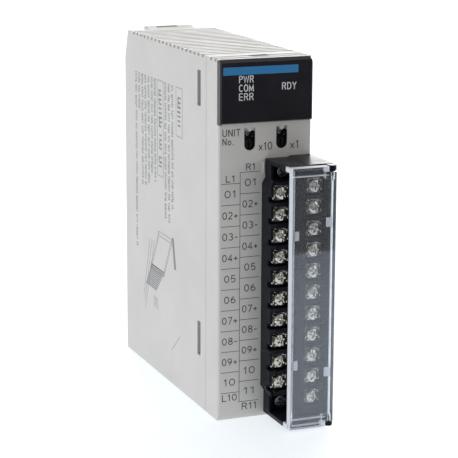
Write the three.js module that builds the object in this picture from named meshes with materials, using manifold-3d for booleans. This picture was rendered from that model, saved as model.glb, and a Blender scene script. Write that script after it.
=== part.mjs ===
// Programmable-controller analogue module, 35 mm wide, with a plug-in terminal block.
// Millimetres. X to the right, Y to the back, Z up. While the pieces are drawn, Y = 0 is the
// front face of the casing; at the end the module is moved so that the origin is the middle
// of the footprint.

import * as THREE from 'three';
import { mergeVertices } from 'three/addons/utils/BufferGeometryUtils.js';
import Module from 'manifold-3d';

const wasm = await Module();
wasm.setup();

// ---------------------------------------------------------------- driving dimensions

const WIDTH = 35;
const HEIGHT = 130;
const BODY_DEPTH = 101;
const COVER_FRONT = 23.5;
const REAR_REACH = 1.5;
const SIDE = WIDTH / 2;
const WALL = 2;
const GAP = 0.3;
const PAST = 1;

const SEAM = 12;
const VENT_PITCH = 4.136;
const VENT_WIDTH = 1.6;
const VENT_NOTCH = 1.0;
const FIRST_VENT = 15.49;
const TOP_VENTS = 19;
const BOTTOM_VENTS = 13;
const SIDE_SLOT = { front: 17.5, back: 20.7, spans: [[111.4, 124.1], [19.5, 32.3]] };

const BLOCK = {
  left: 0, right: 17.3, bottom: 1.8, top: 94.7, endWall: 1.4,
  padLeft: -1.25, padBottom: 12, padTop: 86, padChamfer: 2.2,
  lowLedge: 5.5, highLedge: 13.1, riser: 8.0, rightWall: 1.4, rightWallFront: 19.7, front: 20.3,
};
const PITCH = 7.62;
const COLUMN_A = { name: 'a', count: 11, x: 12.0, firstZ: 87.05, ledge: BLOCK.highLedge, legX: 9.8 };
const COLUMN_B = { name: 'b', count: 10, x: 3.0, firstZ: 83.5, ledge: BLOCK.lowLedge, legX: 7.4 };
const COLUMNS = [COLUMN_A, COLUMN_B];
const BARRIER = { thickness: 1.3, aboveLedgeA: 3.7, aboveLedgeB: 4.3 };
const CONTACT = { width: 6.0, height: 5.0, thickness: 0.8, leg: 0.6, legHalfHeight: 0.8, legEnd: 3.0 };
const TERMINAL_SCREW = { headRadius: 2.4, headHeight: 1.5, washerRoom: 0.8, shankRadius: 1.3 };
const BLOCK_SCREW = { x: 4.6, zTop: 90.6, zBottom: 6.8, headRadius: 2.4, headFront: 6.0, headHeight: 2.1,
  shankRadius: 1.45, seat: 3.6, end: 7.0 };

const HINGE = { x: 15.6, y: -22.0, lugRadius: 1.4, lugRight: 17.3, pinRadius: 0.5, holeRadius: 0.75,
  lugTop: 95.2 };
const COVER = { left: 0.3, right: 16.8, bottom: 1.9, top: 95.0, back: 20.6, wall: 1.0 };
const CLIP = { front: -22.0, back: -21.2, halfHeight: 1.6, leftEdge: 3.4, rightEdge: 13.8,
  leftZ: [71.1, 24.9], rightZ: [75.2, 21.5] };
const KNUCKLE = { left: 12.4, back: 21.0, height: 1.7 };

const DIAL_X = [-5.8, 6.3];
const DIAL_Z = 99.9;
const WINDOW_HALF = 2.1;
const WINDOW_TOP = 105.8;

const HEADER = { left: 6.6, right: 11.4, bottom: 9.2, top: 88.6, front: -4.0, back: 8.6 };
const FRONT_BOARD = { front: 9.0, back: 10.6 };
const WINDOW_PLATE = { bottom: 107.45, top: 129.9, proud: 1.5, wrap: 0.9, wrapDepth: 1.2,
  leftCorner: [0.3, 0.5], rightCorner: [1.1, 1.9], sideBevel: 0.5, topBevel: 1.0 };
const LIGHT_OPENING = { halfWidth: 13, bottom: 110.5, top: 126.5 };
const SNAP_SLOT = { left: -3.1, right: 3.8, front: 5.0, back: 9.0, undercut: 10.6, skin: 0.6, depth: 3 };
const HOOK = { halfWidth: 9.5, top: 130.9 };
const LOCK = { z: 4.8, notchHalf: 5.5, notchTop: 10, skin: 1.6, headRadius: 3.2, shankRadius: 1.9 };
const CONNECTOR = { bottom: 35, top: 90, halfWidth: 7.5 };

// ---------------------------------------------------------------- materials

const paint = (color, roughness, metalness = 0) =>
  new THREE.MeshStandardMaterial({ color, roughness, metalness });

const housingPlastic = paint(0xd4d3ce, 0.55);
const blackGloss = paint(0x1b1b1e, 0.18);
const blockPlastic = paint(0x1f2023, 0.45);
const clearPlastic = new THREE.MeshStandardMaterial({
  color: 0xdfe6ee, roughness: 0.05, metalness: 0, transparent: true, opacity: 0.35,
});
const nickel = paint(0xc9c6bf, 0.28, 1);
const blackSteel = paint(0x2a2a2c, 0.4, 1);
const boardGreen = paint(0x1f5a3a, 0.5);
const connectorPlastic = paint(0x2b2b2e, 0.5);
const dialPlastic = paint(0x232326, 0.5);
const guidePlastic = paint(0xf0f2ee, 0.25);
const converterCase = paint(0x33343a, 0.45);

// ---------------------------------------------------------------- shapes

function toSolid(geometry) {
  const bare = geometry.clone();
  bare.deleteAttribute('normal');
  bare.deleteAttribute('uv');
  const merged = mergeVertices(bare, 1e-5);
  const mesh = new wasm.Mesh({
    numProp: 3,
    vertProperties: new Float32Array(merged.attributes.position.array),
    triVerts: new Uint32Array(merged.index.array),
  });
  return new wasm.Manifold(mesh);
}

function toGeometry(solid) {
  const mesh = solid.getMesh();
  const geometry = new THREE.BufferGeometry();
  geometry.setAttribute('position', new THREE.BufferAttribute(mesh.vertProperties, 3));
  geometry.setIndex(new THREE.BufferAttribute(mesh.triVerts, 1));
  geometry.computeVertexNormals();
  return geometry;
}

function box(x0, x1, y0, y1, z0, z1) {
  const geometry = new THREE.BoxGeometry(x1 - x0, y1 - y0, z1 - z0);
  geometry.translate((x0 + x1) / 2, (y0 + y1) / 2, (z0 + z1) / 2);
  return toSolid(geometry);
}

function outline(points) {
  const shape = new THREE.Shape();
  points.forEach(([a, b], i) => (i === 0 ? shape.moveTo(a, b) : shape.lineTo(a, b)));
  shape.closePath();
  return shape;
}

function extrude(shape, depth, curveSegments = 8) {
  return new THREE.ExtrudeGeometry(shape, { depth, bevelEnabled: false, curveSegments });
}

// points are [y, z] pairs
function slabX(points, x0, x1) {
  const geometry = extrude(outline(points), x1 - x0);
  geometry.applyMatrix4(new THREE.Matrix4().set(0, 0, 1, x0, 1, 0, 0, 0, 0, 1, 0, 0, 0, 0, 0, 1));
  return toSolid(geometry);
}

// points are [x, z] pairs, or a ready shape
function slabY(points, y0, y1, curveSegments) {
  const shape = Array.isArray(points) ? outline(points) : points;
  const geometry = extrude(shape, y1 - y0, curveSegments);
  geometry.rotateX(Math.PI / 2);
  geometry.translate(0, y1, 0);
  return toSolid(geometry);
}

// points are [x, y] pairs
function slabZ(points, z0, z1) {
  const geometry = extrude(outline(points), z1 - z0);
  geometry.translate(0, 0, z0);
  return toSolid(geometry);
}

// Round pieces are polygons; this one is turned so that flats, not corners, face X and Z.
function rodY(x, z, radius, y0, y1, sides) {
  const geometry = new THREE.CylinderGeometry(radius, radius, y1 - y0, sides);
  geometry.rotateY(Math.PI / sides);
  geometry.translate(x, (y0 + y1) / 2, z);
  return toSolid(geometry);
}

function rodZ(x, y, radius, z0, z1, sides) {
  const geometry = new THREE.CylinderGeometry(radius, radius, z1 - z0, sides);
  geometry.rotateX(Math.PI / 2);
  geometry.translate(x, y, (z0 + z1) / 2);
  return toSolid(geometry);
}

const joinAll = (solids) => solids.reduce((sum, next) => sum.add(next));
const cutAll = (solid, cutters) => cutters.reduce((rest, next) => rest.subtract(next), solid);

const module = new THREE.Group();

function place(group, name, solid, material) {
  const mesh = new THREE.Mesh(toGeometry(solid), material);
  mesh.name = name;
  group.add(mesh);
}

const rows = (count) => Array.from({ length: count }, (_, index) => index);
const rowZ = (column, index) => column.firstZ - PITCH * index;
const twoDigits = (number) => String(number).padStart(2, '0');

// ---------------------------------------------------------------- vents

const ventCentres = (firstY, count) => rows(count).map((index) => firstY + VENT_PITCH * index);
const ventBox = (halfWidth, y, z0, z1) =>
  box(-halfWidth, halfWidth, y - VENT_WIDTH / 2, y + VENT_WIDTH / 2, z0, z1);

// A top vent crosses the full width as a shallow notch and goes through between the side walls.
function topVents(firstY, count) {
  return ventCentres(firstY, count).flatMap((y) => [
    ventBox(SIDE + PAST, y, HEIGHT - VENT_NOTCH, HEIGHT + PAST),
    ventBox(SIDE - WALL, y, HEIGHT - WALL - PAST, HEIGHT + PAST),
  ]);
}

// A bottom vent stays between the side walls, so that the lower edges are unbroken.
function bottomVents(firstY, count) {
  return ventCentres(firstY, count).map((y) => ventBox(SIDE - WALL, y, -PAST, WALL + PAST));
}

// ---------------------------------------------------------------- rear housing

function rearHousing() {
  const front = SEAM + GAP / 2;
  const shell = slabX([
    [front, 0], [BODY_DEPTH, 0], [BODY_DEPTH, 119], [97.5, HEIGHT], [front, HEIGHT],
  ], -SIDE, SIDE);
  const inside = slabX([
    [front - PAST, WALL], [BODY_DEPTH - WALL, WALL], [BODY_DEPTH - WALL, 118.6],
    [95.8, HEIGHT - WALL], [front - PAST, HEIGHT - WALL],
  ], -SIDE + WALL, SIDE - WALL);
  const spineHalf = 0.8;
  const spine = box(-spineHalf, spineHalf, FIRST_VENT + 2, 92, HEIGHT - 3.6, HEIGHT - 1.5);
  const bottomSpine = box(-spineHalf, spineHalf, FIRST_VENT + 2, 68, 1.5, 3.6);
  const lockPocket = slabX([[72.5, 1], [100, 1], [100, 11.6], [85.3, 11.6]],
    -LOCK.notchHalf - LOCK.skin, LOCK.notchHalf + LOCK.skin);
  const hook = slabX([
    [93.2, 129.6], [97.6, HOOK.top], [100.6, HOOK.top], [102.5, 128.2], [102.5, 123], [101.2, 123],
    [100.4, 126], [98, 127.5], [96, 127.5],
  ], -HOOK.halfWidth, HOOK.halfWidth);
  const lockNotch = slabX([[76, -PAST], [76, 0], [87, LOCK.notchTop], [99.2, LOCK.notchTop], [99.2, -PAST]],
    -LOCK.notchHalf, LOCK.notchHalf);
  const lockHole = rodY(0, LOCK.z, LOCK.shankRadius + GAP, 98, 103, 16);
  const connectorHole = box(-CONNECTOR.halfWidth - GAP, CONNECTOR.halfWidth + GAP, 98, 103,
    CONNECTOR.bottom - GAP, CONNECTOR.top + GAP);
  const hookRecess = box(-5.4, 3.2, 94, 98.6, HOOK.top - 0.55, HOOK.top + PAST);
  const sideSlots = SIDE_SLOT.spans.map(([z0, z1]) =>
    box(-SIDE - PAST, SIDE + PAST, SIDE_SLOT.front, SIDE_SLOT.back, z0, z1));
  const hollow = cutAll(shell, [
    inside,
    ...topVents(FIRST_VENT, TOP_VENTS),
    ...bottomVents(FIRST_VENT, BOTTOM_VENTS),
    ...sideSlots,
  ]);
  const ribbed = joinAll([hollow, spine, bottomSpine, lockPocket, hook]);
  return cutAll(ribbed, [lockNotch, lockHole, connectorHole, hookRecess]);
}

// ---------------------------------------------------------------- front bezel

function dialWindow(x) {
  const shape = new THREE.Shape();
  shape.moveTo(x - WINDOW_HALF, WINDOW_TOP);
  shape.lineTo(x - WINDOW_HALF, DIAL_Z);
  shape.absarc(x, DIAL_Z, WINDOW_HALF, Math.PI, 2 * Math.PI, false);
  shape.lineTo(x + WINDOW_HALF, WINDOW_TOP);
  shape.closePath();
  return slabY(shape, -PAST, WALL + PAST, 10);
}

// Each slot is undercut towards the back, under a thin skin of the casing.
function snapSlots() {
  const { left, right, front, back, undercut, skin, depth } = SNAP_SLOT;
  return [
    box(left, right, front, back, HEIGHT - depth, HEIGHT + PAST),
    box(left, right, front, undercut, HEIGHT - depth, HEIGHT - skin),
    box(left, right, front, back, -PAST, depth),
    box(left, right, front, undercut, skin, depth),
  ];
}

function frontBezel() {
  const back = SEAM - GAP / 2;
  const chamfer = 0.5;
  const plan = slabZ([
    [-SIDE, back], [-SIDE, chamfer], [-SIDE + chamfer, 0], [SIDE - chamfer, 0], [SIDE, chamfer], [SIDE, back],
  ], 0, HEIGHT);
  const profile = slabX([[0, 1.8], [1.0, 0], [back, 0], [back, HEIGHT], [0, HEIGHT]], -SIDE, SIDE);
  const shell = plan.intersect(profile);
  const inside = box(-SIDE + WALL, SIDE - WALL, WALL, back + PAST, WALL, HEIGHT - WALL);
  const collar = joinAll([
    box(-15.6, 15.6, 10.9, back, 1.9, HEIGHT - 1.9),
    box(-15.2, 15.2, 11.5, 14.3, 2.3, HEIGHT - 2.3),
  ]).subtract(box(-14, 14, 10, 16, 3.5, HEIGHT - 3.5));
  const blockStop = box(-0.8, -0.35, -0.5, 0.5, 89.5, 93.5);
  const windowRebates = [-1, 1].map((side) => windowReturn(side, GAP));
  const guideOpening = box(-LIGHT_OPENING.halfWidth, LIGHT_OPENING.halfWidth, -PAST, WALL + PAST,
    LIGHT_OPENING.bottom, LIGHT_OPENING.top);
  const headerOpening = box(HEADER.left - GAP, HEADER.right + GAP, -PAST, SEAM,
    HEADER.bottom - GAP, HEADER.top + GAP);
  const bosses = [BLOCK_SCREW.zTop, BLOCK_SCREW.zBottom].map((z) => rodY(BLOCK_SCREW.x, z, 2.9, 1, 7.8, 16));
  const screwHoles = [BLOCK_SCREW.zTop, BLOCK_SCREW.zBottom].map((z) =>
    rodY(BLOCK_SCREW.x, z, BLOCK_SCREW.shankRadius + GAP, -PAST, 8.5, 16));
  const bezelVents = 2;
  const firstBezelVent = FIRST_VENT - 3 * VENT_PITCH;
  return cutAll(joinAll([shell.subtract(inside), collar, blockStop, ...bosses]), [
    ...topVents(firstBezelVent, bezelVents),
    ...bottomVents(firstBezelVent, bezelVents),
    ...snapSlots(),
    ...windowRebates,
    guideOpening,
    headerOpening,
    ...screwHoles,
    ...DIAL_X.map(dialWindow),
  ]);
}

// ---------------------------------------------------------------- indicators

const WINDOW_HALF_WIDTH = SIDE - 0.1;

// The window wraps round the casing's corners; with room, this is the rebate that takes the wrap.
function windowReturn(side, room) {
  const { bottom, top, wrap, wrapDepth, leftCorner, rightCorner } = WINDOW_PLATE;
  const cornerHeight = (side < 0 ? leftCorner : rightCorner)[1];
  const outer = room ? SIDE + PAST : WINDOW_HALF_WIDTH;
  const edges = [side * outer, side * (WINDOW_HALF_WIDTH - wrap - room)].sort((a, b) => a - b);
  const front = room ? -PAST : -GAP - 0.1;
  return box(...edges, front, wrapDepth + room, bottom - room, top - cornerHeight + room);
}

function indicatorWindow() {
  const { bottom, top, proud, leftCorner, rightCorner, sideBevel, topBevel } = WINDOW_PLATE;
  const half = WINDOW_HALF_WIDTH;
  const face = slabY([
    [-half, bottom], [half, bottom], [half, top - rightCorner[1]], [half - rightCorner[0], top],
    [-half + leftCorner[0], top], [-half, top - leftCorner[1]],
  ], -proud, -GAP);
  const sideView = slabX([
    [-GAP, bottom], [-proud, bottom + sideBevel], [-proud, top - topBevel], [-GAP, top],
  ], -SIDE, SIDE);
  const planView = slabZ([
    [-half, -GAP], [-half, sideBevel - proud], [sideBevel - half, -proud], [half - sideBevel, -proud],
    [half, sideBevel - proud], [half, -GAP],
  ], bottom - PAST, top + PAST);
  const { halfWidth, bottom: sill, top: lintel } = LIGHT_OPENING;
  const spigot = box(-halfWidth + GAP, halfWidth - GAP, -GAP - 0.1, 1.9, sill + GAP, lintel - GAP);
  const plate = face.intersect(sideView).intersect(planView);
  return joinAll([plate, spigot, ...[-1, 1].map((side) => windowReturn(side, 0))]);
}

function lightGuide() {
  const bar = box(-11, 11.5, 6.4, 8.2, 114.5, 125);
  const fingers = [[-7.85, 123.05], [-7.85, 120.0], [-7.85, 116.85], [8.2, 120.0]].map(([x, z]) =>
    box(x - 2.8, x + 2.8, 2.3, 6.6, z - 1, z + 1));
  return joinAll([bar, ...fingers]);
}

// ---------------------------------------------------------------- rotary switches

function switchBody(x) {
  const half = 5.65;
  const body = box(x - half, x + half, 2.3, 8.7, DIAL_Z - half, DIAL_Z + half);
  return body.subtract(rodY(x, DIAL_Z, 5.4, 1, 4.8, 24));
}

function rotaryDial(x) {
  const disc = rodY(x, DIAL_Z, 5.1, 2.6, 4.3, 24);
  const rotor = rodY(x, DIAL_Z, 1.75, 1.2, 2.8, 16);
  const slot = box(x - 0.35, x + 0.35, 0, 2.0, DIAL_Z - 1.3, DIAL_Z + 1.3);
  return disc.add(rotor).subtract(slot);
}

// ---------------------------------------------------------------- electronics

function frontBoard() {
  return box(-13.5, 13.5, FRONT_BOARD.front, FRONT_BOARD.back, 4.5, 125.5);
}

function mainBoard() {
  return box(-11.8, -10.2, 11.2, 95, 6, 124);
}

function dcConverter() {
  return joinAll([
    box(-9.6, -1.6, 20, 44, 84, 112),
    box(-9.9, -9.4, 22, 42, 86, 110),
  ]);
}

function backplaneConnector() {
  const { bottom, top, halfWidth } = CONNECTOR;
  const flange = box(-9.7, 9.7, 88, 96, bottom - 2, top + 2);
  const nose = box(-halfWidth, halfWidth, 95, BODY_DEPTH + REAR_REACH, bottom, top);
  const socket = box(-5, 5, 97, BODY_DEPTH + 2 * REAR_REACH, bottom + 2, top - 2);
  const tongue = box(-2, 2, 96.5, BODY_DEPTH + 0.3, bottom + 4, top - 4);
  return flange.add(nose).subtract(socket).add(tongue);
}

function terminalHeader() {
  const body = box(HEADER.left, HEADER.right, HEADER.front, HEADER.back, HEADER.bottom, HEADER.top);
  const room = 0.35;
  const sockets = COLUMNS.flatMap((column) => rows(column.count).map((index) => {
    const z = rowZ(column, index);
    return box(column.legX - CONTACT.leg / 2 - room, column.legX + CONTACT.leg / 2 + room,
      HEADER.front - PAST, CONTACT.legEnd + 0.5,
      z - CONTACT.legHalfHeight - room, z + CONTACT.legHalfHeight + room);
  }));
  return cutAll(body, sockets);
}

// ---------------------------------------------------------------- terminal block

function wallPad(inner, y0, y1) {
  const { padLeft, padBottom, padTop, padChamfer } = BLOCK;
  return slabY([
    [padLeft, padBottom], [padLeft, padTop], [inner, padTop + padChamfer], [inner, padBottom - padChamfer],
  ], y0, y1);
}

function barriers(column, left, right, front) {
  return rows(column.count + 1).map((index) => {
    const z = rowZ(column, index) + PITCH / 2;
    const half = BARRIER.thickness / 2;
    return box(left, right, front, -column.ledge + PAST / 2, z - half, z + half);
  });
}

function sideBarriers() {
  return rows(COLUMN_B.count - 1).map((index) => {
    const z = rowZ(COLUMN_B, index) - PITCH / 2;
    const half = BARRIER.thickness / 2;
    return slabZ([[BLOCK.padLeft, -5], [BLOCK.padLeft, -8.6], [0.2, -9.8], [0.2, -5]], z - half, z + half);
  });
}

function wallNotches() {
  return rows(COLUMN_B.count).map((index) => {
    const barrierTop = rowZ(COLUMN_B, index) - PITCH / 2 + BARRIER.thickness / 2;
    return box(BLOCK.padLeft - PAST, -0.2, -8.6 - PAST, -6.0, barrierTop, barrierTop + 2.0);
  });
}

function endWall(z0, z1) {
  const { left, right, front } = BLOCK;
  return slabZ([
    [left, -GAP], [right, -GAP], [right, -front], [left + 1, -front], [left + 1, -18], [left, -17.2],
  ], z0, z1);
}

function hingeLug(z0, z1) {
  const { x, y, lugRadius, lugRight } = HINGE;
  const arm = box(x - lugRadius, lugRight, y, -BLOCK.front + 0.5, z0, z1);
  return rodZ(x, y, lugRadius, z0, z1, 16).add(arm);
}

function terminalBlockBase() {
  const b = BLOCK;
  const lowerZ = b.bottom + b.endWall;
  const upperZ = b.top - b.endWall;
  const body = slabZ([
    [b.left, -GAP], [b.right, -GAP], [b.right, -b.rightWallFront], [b.right - b.rightWall, -b.rightWallFront],
    [b.right - b.rightWall, -b.highLedge], [b.riser, -b.highLedge], [b.riser, -b.lowLedge],
    [b.left, -b.lowLedge],
  ], b.bottom, b.top);
  const sideWall = wallPad(-0.3, -8.6, -b.lowLedge + PAST / 2);
  const sidePad = wallPad(0.1, -b.lowLedge, -GAP);
  const riserWall = box(b.riser, b.riser + 0.7, -16.2, -12, 7.6, 90.3);
  const topPad = slabY([[8, 94.6], [9.4, 95.2], [b.right, 95.2], [b.right, 94.6]], -19, -GAP);
  const pinTop = rodZ(HINGE.x, HINGE.y, HINGE.pinRadius, 91.6, 94, 10);
  const pinBottom = rodZ(HINGE.x, HINGE.y, HINGE.pinRadius, 2.8, 5.0, 10);

  const solids = [
    body, sideWall, sidePad, riserWall, topPad,
    endWall(upperZ, b.top), endWall(b.bottom, lowerZ),
    hingeLug(upperZ, HINGE.lugTop), hingeLug(b.bottom, 3.3), pinTop, pinBottom,
    ...barriers(COLUMN_A, b.riser, b.right - 1, -COLUMN_A.ledge - BARRIER.aboveLedgeA),
    ...barriers(COLUMN_B, 0, b.riser + 0.1, -COLUMN_B.ledge - BARRIER.aboveLedgeB),
    ...sideBarriers(),
  ];

  const room = 0.35;
  const legSlots = COLUMNS.flatMap((column) => rows(column.count).map((index) => {
    const z = rowZ(column, index);
    return box(column.legX - CONTACT.leg / 2 - room, column.legX + CONTACT.leg / 2 + room,
      -column.ledge - 0.2, -2, z - CONTACT.legHalfHeight - room, z + CONTACT.legHalfHeight + room);
  }));
  const screwHoles = COLUMNS.flatMap((column) => rows(column.count).map((index) =>
    rodY(column.x, rowZ(column, index), TERMINAL_SCREW.shankRadius + GAP,
      -column.ledge - PAST / 2, -column.ledge + 4.6, 8)));
  const headerCavity = box(HEADER.left - GAP, HEADER.right + GAP, HEADER.front - GAP, PAST,
    HEADER.bottom - GAP, HEADER.top + GAP);
  const seatPockets = [
    [rowZ(COLUMN_B, 0) + (PITCH + BARRIER.thickness) / 2, upperZ],
    [lowerZ, rowZ(COLUMN_B, COLUMN_B.count - 1) - (PITCH + BARRIER.thickness) / 2],
  ].map(([z0, z1]) => box(0.9, b.riser, -b.lowLedge - PAST, -BLOCK_SCREW.seat, z0, z1));
  const fixingHoles = [BLOCK_SCREW.zTop, BLOCK_SCREW.zBottom].map((z) =>
    rodY(BLOCK_SCREW.x, z, BLOCK_SCREW.shankRadius + GAP, -6, 1, 12));
  return cutAll(joinAll(solids), [
    ...wallNotches(), ...legSlots, ...screwHoles, headerCavity, ...seatPockets, ...fixingHoles,
  ]);
}

function terminalContact(column, index) {
  const z = rowZ(column, index);
  const seat = -column.ledge - GAP;
  const { width, height, thickness, leg, legHalfHeight, legEnd } = CONTACT;
  const plate = box(column.x - width / 2, column.x + width / 2, seat - thickness, seat,
    z - height / 2, z + height / 2);
  const strip = box(column.x - 1, column.legX + leg / 2, seat - thickness, seat,
    z - legHalfHeight, z + legHalfHeight);
  const blade = box(column.legX - leg / 2, column.legX + leg / 2, seat - 0.1, legEnd,
    z - legHalfHeight, z + legHalfHeight);
  const hole = rodY(column.x, z, TERMINAL_SCREW.shankRadius + GAP, seat - 2, seat + 1, 8);
  const plateWithStrip = column.legX > column.x ? plate.add(strip) : plate;
  return plateWithStrip.subtract(hole).add(blade);
}

function crossRecess(x, z, front, depth, reach, breadth) {
  return joinAll([
    box(x - reach, x + reach, front - PAST, front + depth, z - breadth / 2, z + breadth / 2),
    box(x - breadth / 2, x + breadth / 2, front - PAST, front + depth, z - reach, z + reach),
  ]);
}

function terminalScrew(column, index) {
  const z = rowZ(column, index);
  const { headRadius, headHeight, washerRoom, shankRadius } = TERMINAL_SCREW;
  const underHead = -column.ledge - GAP - CONTACT.thickness - washerRoom;
  const front = underHead - headHeight;
  const head = rodY(column.x, z, headRadius, front, underHead, 16);
  const shank = rodY(column.x, z, shankRadius, underHead - 0.1, -column.ledge + 4, 8);
  return head.add(shank).subtract(crossRecess(column.x, z, front, 0.7, 1.5, 0.7));
}

function blockScrew(z) {
  const s = BLOCK_SCREW;
  const head = rodY(s.x, z, s.headRadius, -s.headFront, -s.headFront + s.headHeight, 16);
  const shank = rodY(s.x, z, s.shankRadius, -s.headFront + 1, s.end, 10);
  return head.add(shank).subtract(crossRecess(s.x, z, -s.headFront, 1.0, 1.7, 0.8));
}

// ---------------------------------------------------------------- terminal cover

function terminalCover() {
  const { left, right, bottom, top, back, wall } = COVER;
  const hingeEdge = HINGE.x - HINGE.lugRadius - GAP;
  const cornerTop = BLOCK.top - BLOCK.endWall - 0.35;
  const cornerBottom = 3.65;
  const tray = slabY([
    [left, bottom], [hingeEdge, bottom], [hingeEdge, cornerBottom], [right, cornerBottom],
    [right, cornerTop], [hingeEdge, cornerTop], [hingeEdge, top], [left, top],
  ], -COVER_FRONT, -back);
  const hollow = slabY([
    [left + wall, bottom + wall], [hingeEdge - wall, bottom + wall], [hingeEdge - wall, cornerBottom + 2.3],
    [right - wall, cornerBottom + 2.3], [right - wall, cornerTop - 2.3], [hingeEdge - wall, cornerTop - 2.3],
    [hingeEdge - wall, top - wall], [left + wall, top - wall],
  ], -COVER_FRONT + wall, -back + PAST);
  const pinHoles = [[90, 94], [2.5, 6.2]].map(([z0, z1]) =>
    rodZ(HINGE.x, HINGE.y, HINGE.holeRadius, z0, z1, 12));
  const latches = [[93.3, 94.9], [2.0, 3.6]].map(([z0, z1]) => box(-0.1, 0.7, -22.0, -18.3, z0, z1));
  const innerRibs = [92.0, 5.5].map((z) =>
    box(left + wall / 2, hingeEdge - wall / 2, -COVER_FRONT + wall / 2, -21.9, z - 0.25, z + 0.25));
  const knuckles = [[top - KNUCKLE.height, top], [bottom, bottom + KNUCKLE.height]].map(([z0, z1]) =>
    box(KNUCKLE.left, hingeEdge, -COVER_FRONT, -KNUCKLE.back, z0, z1));
  const clip = (x0, x1, z) =>
    box(x0, x1, CLIP.front, CLIP.back, z - CLIP.halfHeight, z + CLIP.halfHeight);
  const leftClips = CLIP.leftZ.map((z) => clip(left + wall / 2, CLIP.leftEdge, z));
  const rightClips = CLIP.rightZ.map((z) => clip(CLIP.rightEdge, right - wall / 2, z));
  const shell = tray.subtract(hollow);
  const whole = joinAll([shell, ...latches, ...innerRibs, ...knuckles, ...leftClips, ...rightClips]);
  return cutAll(whole, pinHoles);
}

// ---------------------------------------------------------------- module lock screw

function moduleLockScrew() {
  const headFront = 93.6;
  const head = rodY(0, LOCK.z, LOCK.headRadius, headFront, 97.4, 20);
  const shank = rodY(0, LOCK.z, LOCK.shankRadius, 97, BODY_DEPTH + REAR_REACH, 12);
  return head.add(shank).subtract(crossRecess(0, LOCK.z, headFront, 1.2, 2.1, 0.9));
}

// ---------------------------------------------------------------- assembly

const casing = new THREE.Group();
place(casing, 'rear_housing', rearHousing(), housingPlastic);
place(casing, 'front_bezel', frontBezel(), housingPlastic);
place(casing, 'indicator_window', indicatorWindow(), blackGloss);
place(casing, 'module_lock_screw', moduleLockScrew(), nickel);
module.add(casing);

const electronics = new THREE.Group();
place(electronics, 'main_circuit_board', mainBoard(), boardGreen);
place(electronics, 'front_circuit_board', frontBoard(), boardGreen);
place(electronics, 'dc_converter', dcConverter(), converterCase);
place(electronics, 'backplane_connector', backplaneConnector(), connectorPlastic);
place(electronics, 'terminal_header', terminalHeader(), connectorPlastic);
place(electronics, 'indicator_light_guide', lightGuide(), guidePlastic);
['left', 'right'].forEach((side, index) => {
  place(electronics, `rotary_switch_body_${side}`, switchBody(DIAL_X[index]), dialPlastic);
  place(electronics, `rotary_dial_${side}`, rotaryDial(DIAL_X[index]), dialPlastic);
});
module.add(electronics);

const terminalBlock = new THREE.Group();
place(terminalBlock, 'terminal_block_base', terminalBlockBase(), blockPlastic);
place(terminalBlock, 'terminal_cover', terminalCover(), clearPlastic);
place(terminalBlock, 'block_screw_top', blockScrew(BLOCK_SCREW.zTop), blackSteel);
place(terminalBlock, 'block_screw_bottom', blockScrew(BLOCK_SCREW.zBottom), blackSteel);
COLUMNS.forEach((column) => rows(column.count).forEach((index) => {
  const tag = `${column.name}${twoDigits(index + 1)}`;
  place(terminalBlock, `terminal_contact_${tag}`, terminalContact(column, index), nickel);
  place(terminalBlock, `terminal_screw_${tag}`, terminalScrew(column, index), nickel);
}));
module.add(terminalBlock);

module.position.y = (COVER_FRONT - BODY_DEPTH - REAR_REACH) / 2;

export default module;
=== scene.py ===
import math
import random

import bmesh
import bpy
from mathutils import Matrix, Vector

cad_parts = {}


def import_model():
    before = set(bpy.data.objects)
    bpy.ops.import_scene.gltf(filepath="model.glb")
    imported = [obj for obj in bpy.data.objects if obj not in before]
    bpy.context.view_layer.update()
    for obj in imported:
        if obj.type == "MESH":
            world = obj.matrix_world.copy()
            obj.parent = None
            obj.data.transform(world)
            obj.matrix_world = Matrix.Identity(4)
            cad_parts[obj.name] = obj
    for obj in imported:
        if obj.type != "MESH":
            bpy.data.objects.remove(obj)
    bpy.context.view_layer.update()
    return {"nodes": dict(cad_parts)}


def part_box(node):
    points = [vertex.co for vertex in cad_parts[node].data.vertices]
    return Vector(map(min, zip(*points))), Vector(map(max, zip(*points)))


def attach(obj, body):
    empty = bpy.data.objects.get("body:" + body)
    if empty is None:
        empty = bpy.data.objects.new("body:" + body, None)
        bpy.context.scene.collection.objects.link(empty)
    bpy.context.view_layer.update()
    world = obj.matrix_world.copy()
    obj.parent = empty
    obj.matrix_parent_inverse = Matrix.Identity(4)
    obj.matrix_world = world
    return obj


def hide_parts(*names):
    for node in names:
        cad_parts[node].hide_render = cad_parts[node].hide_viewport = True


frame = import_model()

NODES = frame["nodes"]
SCENE = bpy.context.scene

# ---------------------------------------------------------------- drawing frame
# Lengths are millimetres: X to the right, Y back from the casing's front face, Z up.

MM = 0.001
WINDOW_PROUD = 1.5
WINDOW_LOW, WINDOW_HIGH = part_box("indicator_window")
CASING_LOW, CASING_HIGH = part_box("rear_housing")
FACE_Y = WINDOW_LOW.y + WINDOW_PROUD * MM
SIDE = CASING_HIGH.x / MM
COLUMNS = {"a": 11, "b": 10}
TERMINALS = [f"{column}{row:02d}" for column, count in COLUMNS.items() for row in range(1, count + 1)]


def spot(x, y, z):
    return Vector((x * MM, FACE_Y + y * MM, z * MM))


def drawn(corner):
    """A corner of the frame, in the drawing's millimetres."""
    return Vector((corner.x / MM, (corner.y - FACE_Y) / MM, corner.z / MM))


def drawn_box(node):
    low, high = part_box(node)
    return drawn(low), drawn(high)


# ---------------------------------------------------------------- material tools


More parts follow.
